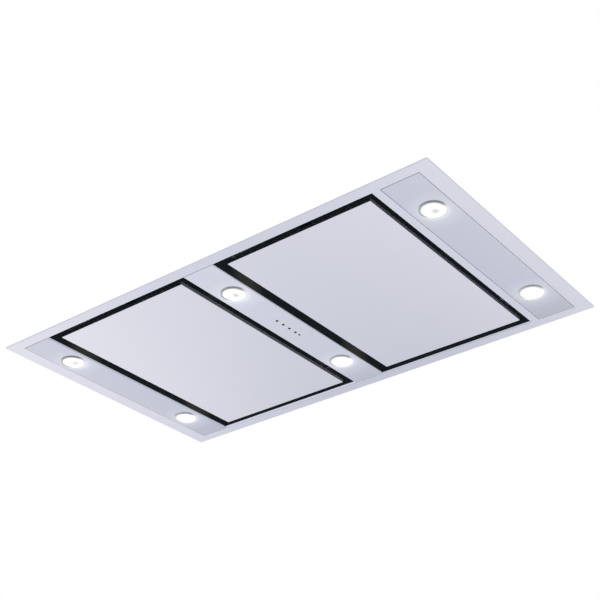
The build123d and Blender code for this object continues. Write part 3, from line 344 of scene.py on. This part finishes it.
def black_coat(name):
    """Matt black coating with a fine orange peel, with the lamps' light painted on next to them as
    glow and a faint painted glow all over.
    """
    material, f = new_material(name)
    place = f.place()
    peel = f.noise(place, scale=900.0)
    dust = f.noise(place, scale=14.0, detail=3.0)
    # Painted light: glow near the lamps, and a faint glow everywhere
    near = f.ramp(f.length(*f.from_lamp(place)), PAINTED_LAMP_GLOW_REACH, LAMP_RADIUS)
    f.surface(Base_Color=f.mix(dust, *COAT_SHADES),
              Metallic=0.0,
              Roughness=f.between(dust, *COAT_ROUGHNESS),
              Specular_IOR_Level=0.12,
              Emission_Color=f.mix(near, PAINTED_SCATTER_GLOW, PAINTED_LAMP_GLOW_ON_BLACK),
              Emission_Strength=1.0,
              Normal=f.bump(peel, strength=0.15, distance=0.2 * MM))
    return material


CORE_PAINTED_SHADES = ((0.006, 0.007, 0.007), (0.03, 0.03, 0.03))
WOOL_ROUGHNESS = (0.8, 0.95)


def wool_core_painted_dark(name):
    """The filters' core: a sheet of wool with a fibrous bump, painted near-black as shade so the
    filters stay dark inside, with a faint painted glow.
    """
    material, f = new_material(name)
    fibre = f.noise(f.place(), scale=700.0, detail=4.0)
    # Painted shade: near-black colour for the inside of the filter, with a faint painted glow
    f.surface(Base_Color=f.mix(fibre, *CORE_PAINTED_SHADES),
              Metallic=0.0,
              Roughness=f.between(fibre, *WOOL_ROUGHNESS),
              Specular_IOR_Level=0.15,
              Emission_Color=PAINTED_SCATTER_GLOW,
              Emission_Strength=1.0,
              Normal=f.bump(fibre, strength=0.6, distance=0.8 * MM))
    return material


ZINC_SHADES = ((0.55, 0.56, 0.57), (0.74, 0.75, 0.76))
ZINC_ROUGHNESS = (0.24, 0.38)


def zinc_plate(name):
    """Bright zinc on fasteners, pins and springs."""
    material, f = new_material(name)
    blotch = f.noise(f.place(), scale=220.0, detail=3.0)
    f.surface(Base_Color=f.mix(blotch, *ZINC_SHADES),
              Metallic=1.0,
              Roughness=f.between(blotch, *ZINC_ROUGHNESS),
              Normal=f.bump(blotch, strength=0.1, distance=0.1 * MM))
    return material


ALUMINIUM_SHADES = ((0.66, 0.67, 0.68), (0.83, 0.84, 0.85))
ALUMINIUM_ROUGHNESS = (0.3, 0.44)
ROLLING_STRETCH = (1.0, 0.02, 1.0)
ROLLED_SHARE, WORN_SHARE = 0.6, 0.4


def mill_aluminium(name):
    """Rolled aluminium with long rolling lines."""
    material, f = new_material(name)
    place = f.place()
    rolled = f.noise(place, scale=1500.0, stretch=ROLLING_STRETCH)
    worn = f.noise(place, scale=40.0, detail=3.0)
    tone = ROLLED_SHARE * rolled + WORN_SHARE * worn
    f.surface(Base_Color=f.mix(tone, *ALUMINIUM_SHADES),
              Metallic=1.0,
              Roughness=f.between(tone, *ALUMINIUM_ROUGHNESS),
              Normal=f.bump(rolled, strength=0.08, distance=0.05 * MM))
    return material


# Painted shade: one metal in two copies, darker for the lamps at the -Y side and lighter for those
# at the +Y side
NEAR_RING_PAINTED_DARKER = (0.37, 0.395, 0.38)         # of the lamps at the hood's -Y side
FAR_RING_PAINTED_LIGHTER = (0.60, 0.62, 0.61)           # of the lamps at its +Y side
RING_SIDE_SHARE, MARKS_SHARE = 0.8, 0.2
RING_ROUGHNESS = (0.32, 0.40)
# Painted light: glow on the rings where the lens shines on them
RING_LIT = (0.80, 0.82, 0.82)
LIT_SIDE = (0.26, 0.97)                 # direction of the side that the lens shines on
LIT_SIDE_REACH = 0.45                   # of the lamp's radius, from its middle to full light
LIT_INNER = 0.86                        # of the lamp's radius, where the ring is brightest
LIT_OUTER_LEVEL = 0.35                  # of that light, at the ring's outer edge


def polished_ring(name):
    """The lamps' metal rings: fine turning marks, the lens's light painted on one side as glow, and
    painted shade that makes the -Y rings darker than the +Y rings.
    """
    material, f = new_material(name)
    place = f.place()
    marks = f.noise(place, scale=3000.0)
    u, v = f.from_lamp(place)
    # Painted light: glow on the side of the ring that the lens shines on
    side = f.ramp(LIT_SIDE[0] * u + LIT_SIDE[1] * v, 0.0, LIT_SIDE_REACH * LAMP_RADIUS)
    inward = f.ramp(f.length(u, v), LAMP_RADIUS, LIT_INNER * LAMP_RADIUS)
    lit = side * f.between(inward, LIT_OUTER_LEVEL, 1.0)
    # Painted shade: the -Y rings darker than the +Y rings
    far = f.math("GREATER_THAN", f.axes(place)[1], 0.0)
    f.surface(Base_Color=f.mix(RING_SIDE_SHARE * far + MARKS_SHARE * marks, NEAR_RING_PAINTED_DARKER, FAR_RING_PAINTED_LIGHTER),
              Metallic=1.0,
              Roughness=f.between(marks, *RING_ROUGHNESS),
              Emission_Color=f.mix(lit, BLACK, RING_LIT),
              Emission_Strength=1.0)
    return material


SPARK_ROUGHNESS = 0.08                  # what the spark texture adds


def moulded(name, dark, light, roughness, sheen=0.5):
    """Moulded plastic with a fine spark texture."""
    material, f = new_material(name)
    place = f.place()
    spark = f.noise(place, scale=1600.0)
    cloud = f.noise(place, scale=30.0)
    f.surface(Base_Color=f.mix(cloud, dark, light),
              Metallic=0.0,
              Roughness=roughness + SPARK_ROUGHNESS * spark,
              Specular_IOR_Level=sheen,
              Normal=f.bump(spark, strength=0.2, distance=0.1 * MM))
    return material


MAGNET_SHADES = ((0.06, 0.06, 0.065), (0.15, 0.15, 0.16))
MAGNET_ROUGHNESS = (0.5, 0.7)


def sintered(name):
    """Dark sintered magnet."""
    material, f = new_material(name)
    pores = f.noise(f.place(), scale=1800.0, detail=3.0)
    f.surface(Base_Color=f.mix(pores, *MAGNET_SHADES),
              Metallic=0.6,
              Roughness=f.between(pores, *MAGNET_ROUGHNESS),
              Normal=f.bump(pores, strength=0.3, distance=0.1 * MM))
    return material


BOARD_SHADES = ((0.02, 0.13, 0.06), (0.05, 0.26, 0.12))
BOARD_ROUGHNESS = (0.3, 0.45)
TRACKS_SHARE, SPECK_SHARE = 0.7, 0.3


def solder_mask(name):
    """Green circuit board with copper tracks under the mask."""
    material, f = new_material(name)
    place = f.place()
    tracks = f.node("ShaderNodeTexBrick", {"offset": 0.37},
                    {"Vector": place, "Scale": 160.0, "Mortar Size": 0.06}, output="Fac")
    speck = f.noise(place, scale=500.0)
    f.surface(Base_Color=f.mix(TRACKS_SHARE * tracks + SPECK_SHARE * speck, *BOARD_SHADES),
              Metallic=0.0,
              Roughness=f.between(speck, *BOARD_ROUGHNESS),
              Normal=f.bump(tracks, strength=0.2, distance=0.1 * MM))
    return material


LENS_SHADES = ((0.16, 0.17, 0.17), (0.24, 0.25, 0.25))
LENS_ROUGHNESS = (0.3, 0.45)
GLOW_SHADES = ((0.90, 0.93, 0.91), WHITE)
RIM_GLOW = (0.66, 0.69, 0.68)
RIM_START = 0.78                        # of the lens's radius
CHIP_SHIFT = (2.6 * MM, 6.0 * MM)       # where the chip shows, from a lens's middle
CHIP_REACH = 12.0 * MM
CHIP_GLOW = (0.40, 0.41, 0.40)
CHIP_BASE = 0.45                        # of the chip's mark, before the mottle adds to it
FAR_CHIP = 0.25                         # of the mark, in the lamps at the +Y side


def lit_lens(name):
    """Frosted lens, lit from behind: its own light shows, with a grey mark over the chip."""
    material, f = new_material(name)
    place = f.place()
    frost = f.noise(place, scale=900.0, detail=3.0)
    mottle = f.noise(place, scale=150.0)
    u, v = f.from_lamp(place)
    chip = f.ramp(f.length(u - CHIP_SHIFT[0], v - CHIP_SHIFT[1]), CHIP_REACH, 0.0)
    near = f.math("LESS_THAN", f.axes(place)[1], 0.0)
    mark = chip * (CHIP_BASE + mottle) * f.between(near, FAR_CHIP, 1.0)
    rim = f.ramp(f.length(u, v), RIM_START * LENS_RADIUS, LENS_RADIUS)
    glow = f.mix(rim, f.mix(mottle, *GLOW_SHADES), RIM_GLOW)
    f.surface(Base_Color=f.mix(frost, *LENS_SHADES),
              Metallic=0.0,
              Roughness=f.between(frost, *LENS_ROUGHNESS),
              Emission_Color=f.mix(mark, glow, CHIP_GLOW),
              Emission_Strength=1.0,
              Normal=f.bump(frost, strength=0.1, distance=0.1 * MM))
    return material


# --------------------------------------------- what each node is made of
MATERIALS = {
    "satin_steel": satin_steel("border_steel", BORDER_STEEL, ALONG_X),
    "galvanised": galvanised("galvanised_sheet"),
    "black_coat": black_coat("black_coating"),
    "zinc_steel": zinc_plate("zinc_plating"),
    "aluminium": mill_aluminium("rolled_aluminium"),
    "chrome": polished_ring("polished_ring"),
    "lamp_glass": lit_lens("lit_lens"),
    "black_plastic": moulded("black_moulding", (0.016, 0.016, 0.018), (0.035, 0.035, 0.038),
                             roughness=0.38),
    "grey_plastic": moulded("grey_moulding", (0.27, 0.28, 0.29), (0.36, 0.37, 0.38),
                            roughness=0.45),
    "magnet": sintered("sintered_magnet"),
    "board_green": solder_mask("circuit_board"),
}
BUTTON_COUNT = 4
BUTTON_FINISH = moulded("button_moulding", (0.003, 0.003, 0.004), (0.008, 0.008, 0.009),
                        roughness=0.3, sheen=0.15)
PANEL_FINISH = satin_steel("panel_steel", PANEL_STEEL, ALONG_X, PANEL_EDGE_COARSENESS)
OWN_FINISH = {
    "panel_left_skin": PANEL_FINISH,
    "panel_right_skin": PANEL_FINISH,
    "indicator_lens": BUTTON_FINISH,
}
for number in range(1, BUTTON_COUNT + 1):
    OWN_FINISH[f"push_button_{number}"] = BUTTON_FINISH
CORE_FINISH = wool_core_painted_dark("filter_core")
TRIM_FINISH = satin_steel("trim_steel", TRIM_STEEL, ALONG_X)
for strip, colour in STRIP_STEEL_AND_SHADE.items():
    OWN_FINISH[strip] = satin_steel(f"{strip}_steel", colour, ALONG_Y,
                                   far_end_shade=STRIP_FAR_END_SHADE[strip])

SLOT_OF = {entry["node"]: entry["material_slot"] for entry in frame["record"]["subparts"]}
for node_name, node_object in frame["nodes"].items():
    finish = OWN_FINISH.get(node_name, MATERIALS[SLOT_OF[node_name]])
    for material_slot in node_object.material_slots:
        material_slot.material = finish


# ------------------------------------------------------------------ pieces
SHARP_ANGLE = math.radians(40.0)


def add_object(name, mesh, material):
    """Turn a bmesh into an object of one material."""
    data = bpy.data.meshes.new(name)
    mesh.to_mesh(data)
    mesh.free()
    made = bpy.data.objects.new(name, data)
    bpy.context.scene.collection.objects.link(made)
    data.materials.append(material)
    return made


def make_piece(name, mesh, material, body="housing"):
    """Turn a bmesh into a piece of the hood that rides on a body."""
    piece = add_object(name, mesh, material)
    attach(piece, body)
    return piece


def smooth(piece):
    """Shade a piece smooth, apart from its sharp edges."""
    piece.data.shade_smooth()
    piece.data.set_sharp_from_angle(angle=SHARP_ANGLE)


LENS_TURNS = 64
DOME_STEPS = 10
DOME_RISE = 0.35 * MM
RIM_STEP = 0.15 * MM                    # height of the moulded steps at the rim
DOME_EDGE, LAND_START, LAND_END, GROOVE = 0.88, 0.90, 0.95, 0.97        # of the lens's radius


def turned(mesh, centre, profile, turns=LENS_TURNS):
    """Turn a profile of (radius, height) points about an upright axis."""
    rings = []
    for radius, height in profile:
        if radius == 0:
            rings.append([mesh.verts.new((centre[0], centre[1], height))])
            continue
        ring = []
        for step in range(turns):
            angle = 2 * math.pi * step / turns
            ring.append(mesh.verts.new((centre[0] + radius * math.cos(angle),
                                        centre[1] + radius * math.sin(angle), height)))
        rings.append(ring)
    for inner, outer in zip(rings, rings[1:]):
        for step in range(turns):
            after = (step + 1) % turns
            corners = [inner[step % len(inner)], outer[step % len(outer)],
                       outer[after % len(outer)], inner[after % len(inner)]]
            corners = list(dict.fromkeys(corners))
            if len(corners) > 2:
                mesh.faces.new(corners)


def lamp_lenses():
    """Gently domed lenses with a moulded step at the rim."""
    low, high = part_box("lamp_lenses")
    profile = [(0, low.z)]
    for i in range(1, DOME_STEPS + 1):
        share = i / DOME_STEPS
        profile.append((DOME_EDGE * LENS_RADIUS * share, low.z + DOME_RISE * share ** 3))
    edge = low.z + DOME_RISE
    profile += [(LAND_START * LENS_RADIUS, edge + RIM_STEP),
                (LAND_END * LENS_RADIUS, edge + RIM_STEP),
                (GROOVE * LENS_RADIUS, edge),
                (LENS_RADIUS, edge + RIM_STEP), (LENS_RADIUS, high.z), (0, high.z)]
    lenses = bmesh.new()
    for centre in LAMPS:
        turned(lenses, centre, profile)
    bmesh.ops.recalc_face_normals(lenses, faces=lenses.faces)
    piece = make_piece("downlight_lenses", lenses, MATERIALS["lamp_glass"])
    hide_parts("lamp_lenses")
    smooth(piece)


TRIM_BACKSET = 0.5 * MM                 # from the strips' face
TRIM_SHEET = 0.8 * MM
COLLAR_SHEET = 1.0 * MM
LEFT_SIDE_BEVEL = (1.8 * MM, 2.5 * MM)  # leans in by, rises by
LEFT_END_BEVEL = (4.1 * MM, 3.2 * MM)
RIGHT_SIDE_BEVEL = (1.2 * MM, 1.8 * MM)
RIGHT_END_BEVEL = (2.4 * MM, 1.9 * MM)


def bar(mesh, start, end, inwards, lean, height):
    """A bevelled bar from one corner to the next, leaning inwards as it rises."""
    foot = Vector((*inwards, 0.0)) * TRIM_SHEET / 2
    top = Vector((*inwards, 0.0)) * lean + Vector((0.0, 0.0, height))
    section = [Vector(), foot, foot + top, top]
    ends = [[mesh.verts.new(Vector(corner) + point) for point in section]
            for corner in (start, end)]
    for i in range(4):
        j = (i + 1) % 4
        mesh.faces.new((ends[0][i], ends[0][j], ends[1][j], ends[1][i]))
    for ring in ends:
        mesh.faces.new(ring)


def slot_trim(name, x, y, bottom, side_bevel, end_bevel):
    """A steel trim round an intake's mouth: its side bars run along Y, its end bars along X."""
    mesh = bmesh.new()
    bar(mesh, (x[0], y[0], bottom), (x[0], y[1], bottom), (1, 0), *side_bevel)
    bar(mesh, (x[1], y[0], bottom), (x[1], y[1], bottom), (-1, 0), *side_bevel)
    bar(mesh, (x[0], y[0], bottom), (x[1], y[0], bottom), (0, 1), *end_bevel)
    bar(mesh, (x[0], y[1], bottom), (x[1], y[1], bottom), (0, -1), *end_bevel)
    bmesh.ops.recalc_face_normals(mesh, faces=mesh.faces)
    make_piece(name, mesh, TRIM_FINISH)


def slot_trims():
    """The trims of both mouths, between the strips, the last filter and the collars' end walls."""
    left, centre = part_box("light_strip_left"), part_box("control_strip")
    last_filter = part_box("filter_frame_4")
    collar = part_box("intake_collar_left")
    y = (collar[0].y + COLLAR_SHEET, collar[1].y - COLLAR_SHEET)
    bottom = left[0].z + TRIM_BACKSET
    slot_trim("slot_trim_left", (left[1].x, centre[0].x), y, bottom,
              LEFT_SIDE_BEVEL, LEFT_END_BEVEL)
    slot_trim("slot_trim_right", (centre[1].x, last_filter[1].x + COLLAR_SHEET), y, bottom,
              RIGHT_SIDE_BEVEL, RIGHT_END_BEVEL)


FILTER_COUNT = 4
MESH_PITCH = (10.0 * MM, 24.0 * MM)
MESH_STRAND = 1.1 * MM
MESH_WAVE = 0.35 * MM                   # how far a diamond's corners rise and fall
MESH_LAYERS = 2
CORE_THICKNESS = 1.6 * MM


def lattice(mesh, low, high, level, shift):
    """One layer of expanded metal: a sheet of diamonds whose corners rise and fall."""
    pitch_x, pitch_y = MESH_PITCH
    columns = round((high.x - low.x) / pitch_x) * 2
    rows = round((high.y - low.y) / pitch_y) * 2
    step_x = (high.x - low.x) / columns
    step_y = (high.y - low.y) / rows
    corners = {}

    def corner(i, j):
        if (i, j) not in corners:
            wave = MESH_WAVE if j % 2 else -MESH_WAVE
            corners[i, j] = mesh.verts.new((low.x + i * step_x, low.y + j * step_y, level + wave))
        return corners[i, j]

    diamonds = []
    for i in range(1, columns):
        for j in range(1, rows):
            if (i + j) % 2 == shift:
                diamonds.append(mesh.faces.new((corner(i - 1, j), corner(i, j - 1),
                                                corner(i + 1, j), corner(i, j + 1))))
    return diamonds


def filter_mesh(number):
    """Two layers of expanded aluminium on a near-black core of painted shade, in place of the plain
    slab.
    """
    node = f"filter_mesh_{number}"
    low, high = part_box(node)
    mesh = bmesh.new()
    for layer in range(MESH_LAYERS):
        level = low.z + (high.z - low.z) * (layer + 0.5) / MESH_LAYERS
        diamonds = lattice(mesh, low, high, level, layer % 2)
        bmesh.ops.wireframe(mesh, faces=diamonds, thickness=MESH_STRAND, use_replace=True,
                            use_boundary=True, use_even_offset=True)
    piece = make_piece(f"expanded_mesh_{number}", mesh, MATERIALS["aluminium"])
    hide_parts(node)
    # A near-black core of painted shade inside the filter
    core = bmesh.new()
    slab = Matrix.Diagonal((high.x - low.x, high.y - low.y, CORE_THICKNESS, 1.0))
    bmesh.ops.create_cube(core, size=1.0, matrix=Matrix.Translation((low + high) / 2) @ slab)
    make_piece(f"filter_core_{number}", core, CORE_FINISH)


RIVET_RADIUS = 2.6 * MM
RIVET_RISE = 1.1 * MM
RIVET_INSET = 8.0 * MM                  # from the housing's corner
LOWEST_RIVET, RIVET_PITCH, RIVET_ROWS = 40.0 * MM, 58.0 * MM, 5
COLLAR_FOOT = 3.0 * MM                  # thickness of the duct collar's foot
COLLAR_SCREW_COUNT = 8
COLLAR_SCREW_RING = 85.0 * MM
COLLAR_SCREW_RADIUS = 3.2 * MM
COLLAR_SCREW_RISE = 1.8 * MM
STUD_SEGMENTS, STUD_RINGS = 20, 10


def stud(mesh, spot, outwards, radius, rise):
    """The domed head of a rivet or screw, standing out along an axis."""
    scale = [rise if axis else radius for axis in outwards]
    bmesh.ops.create_uvsphere(mesh, u_segments=STUD_SEGMENTS, v_segments=STUD_RINGS, radius=1.0,
                              matrix=Matrix.Translation(spot) @ Matrix.Diagonal((*scale, 1.0)))


def housing_fasteners():
    """Rivets down the housing's corner folds, and screws round the duct collar's foot."""
    low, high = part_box("housing_front")[0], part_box("housing_rear")[1]
    rivets = bmesh.new()
    for x in (low.x + RIVET_INSET, high.x - RIVET_INSET):
        for y in (low.y, high.y):
            for row in range(RIVET_ROWS):
                stud(rivets, (x, y, LOWEST_RIVET + RIVET_PITCH * row), (0, 1, 0),
                     RIVET_RADIUS, RIVET_RISE)
    smooth(make_piece("wall_rivets", rivets, MATERIALS["zinc_steel"]))
    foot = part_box("outlet_collar")[0].z + COLLAR_FOOT
    screws = bmesh.new()
    for screw in range(COLLAR_SCREW_COUNT):
        angle = 2 * math.pi * (screw + 0.5) / COLLAR_SCREW_COUNT
        spot = (COLLAR_SCREW_RING * math.cos(angle), COLLAR_SCREW_RING * math.sin(angle), foot)
        stud(screws, spot, (0, 0, 1), COLLAR_SCREW_RADIUS, COLLAR_SCREW_RISE)
    smooth(make_piece("collar_screws", screws, MATERIALS["zinc_steel"]))


# --------------------------------------------- light, floor, ceiling, camera
def build_world():
    """White to the eye and in reflections, a plain level on everything else."""
    world = bpy.data.worlds.new("studio")
    bpy.context.scene.world = world
    f = Finish(world)
    level = f.between(f.seen_by("Camera", "Glossy", "Transmission"), WORLD_LEVEL, 1.0)
    background = f.node("ShaderNodeBackground", values={"Color": (*WHITE, 1.0), "Strength": level})
    f.node("ShaderNodeOutputWorld", values={"Surface": background})


def build_floor():
    """A pale floor, which reflections see with an unevenly lit pool on it, brighter at its ends."""
    mesh = bmesh.new()
    corners = [mesh.verts.new((x * FLOOR_REACH, y * FLOOR_REACH, FLOOR_LEVEL))
               for x, y in ((-1, -1), (1, -1), (1, 1), (-1, 1))]
    mesh.faces.new(corners)
    material, f = new_material("floor")
    floor = add_object("floor", mesh, material)
    mirrored = f.seen_by("Glossy", "Transmission")
    x, y, _ = f.axes(f.place())
    across = (x - POOL_MIDDLE[0]) / POOL_SPAN[0]
    along = (y - POOL_MIDDLE[1]) / POOL_SPAN[1]
    glow = POOL_LEVEL + POOL_TILT[0] * across + POOL_TILT[1] * along
    glow = glow + POOL_BOWL * across * across + POOL_TWIST * across * along
    glow = f.math("MINIMUM", f.math("MAXIMUM", glow, POOL_LIMITS[0]), POOL_LIMITS[1])
    full, gone = POOL_REACH
    inside = f.ramp(f.length(x - POOL_MIDDLE[0], y - POOL_MIDDLE[1]), gone, full)
    glow = FLOOR_GLOW + inside * (glow - FLOOR_GLOW)
    warmth = f.mix(f.ramp(glow, 1.0, POOL_LIMITS[1]), WHITE, POOL_WARM)
    pale = f.node("ShaderNodeBsdfDiffuse", values={"Color": (*STAGE_COLOUR, 1.0)})
    white = f.node("ShaderNodeEmission", values={"Color": (*WHITE, 1.0)})
    pool = f.node("ShaderNodeEmission", values={"Color": f.vector("MULTIPLY", warmth, glow)})
    shown = f.node("ShaderNodeMixShader", values={0: f.seen_by("Camera"), 1: pale, 2: white})
    shown = f.node("ShaderNodeMixShader", values={0: mirrored, 1: shown, 2: pool})
    f.node("ShaderNodeOutputMaterial", values={"Surface": shown})


def build_ceiling():
    """The ceiling that the hood is let into: a white sheet with a hole, clear seen from above."""
    low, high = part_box("housing_top")
    left, right = low.x - CEILING_CUTOUT, high.x + CEILING_CUTOUT
    front, rear = low.y - CEILING_CUTOUT, high.y + CEILING_CUTOUT
    hole = [(left, front), (right, front), (right, rear), (left, rear)]
    mesh = bmesh.new()
    rim = [mesh.verts.new((x, y, CEILING_LEVEL)) for x, y in hole]
    edge = [mesh.verts.new((math.copysign(CEILING_REACH, x), math.copysign(CEILING_REACH, y),
                            CEILING_LEVEL)) for x, y in hole]
    for i in range(4):
        after = (i + 1) % 4
        mesh.faces.new((rim[i], rim[after], edge[after], edge[i]))
    material, f = new_material("ceiling")
    ceiling = add_object("ceiling", mesh, material)
    seen = f.seen_by("Camera", "Glossy")
    pale = f.node("ShaderNodeBsdfDiffuse", values={"Color": (*STAGE_COLOUR, 1.0)})
    white = f.node("ShaderNodeEmission", values={"Color": (*WHITE, 1.0)})
    shown = f.node("ShaderNodeMixShader", values={0: seen, 1: pale, 2: white})
    above = f.node("ShaderNodeNewGeometry", output="Backfacing")
    clear = f.node("ShaderNodeBsdfTransparent")
    shown = f.node("ShaderNodeMixShader", values={0: above, 1: shown, 2: clear})
    f.node("ShaderNodeOutputMaterial", values={"Surface": shown})


def add_light(name, place, aim, size, power):
    light = bpy.data.lights.new(name, "AREA")
    light.shape = "SQUARE"
    light.size = size
    light.energy = power
    lamp = bpy.data.objects.new(name, light)
    lamp.location = place
    lamp.rotation_euler = (Vector(aim) - Vector(place)).to_track_quat("-Z", "Y").to_euler()
    bpy.context.scene.collection.objects.link(lamp)


def build_camera():
    data = bpy.data.cameras.new("camera")
    data.lens = LENS_LENGTH
    data.sensor_width = SENSOR_WIDTH
    camera = bpy.data.objects.new("camera", data)
    bpy.context.scene.collection.objects.link(camera)
    turn = (CAMERA_AIM - CAMERA_PLACE).to_track_quat("-Z", "Y").to_matrix().to_4x4()
    camera.matrix_world = (Matrix.Translation(CAMERA_PLACE) @ turn
                           @ Matrix.Rotation(CAMERA_ROLL, 4, "Z"))
    bpy.context.scene.camera = camera


lamp_lenses()
slot_trims()
for filter_number in range(1, FILTER_COUNT + 1):
    filter_mesh(filter_number)
housing_fasteners()
build_world()
build_floor()
build_ceiling()
add_light("key_light", **KEY_LIGHT)
add_light("top_light", **TOP_LIGHT)
build_camera()
bpy.context.scene.view_settings.view_transform = "Standard"
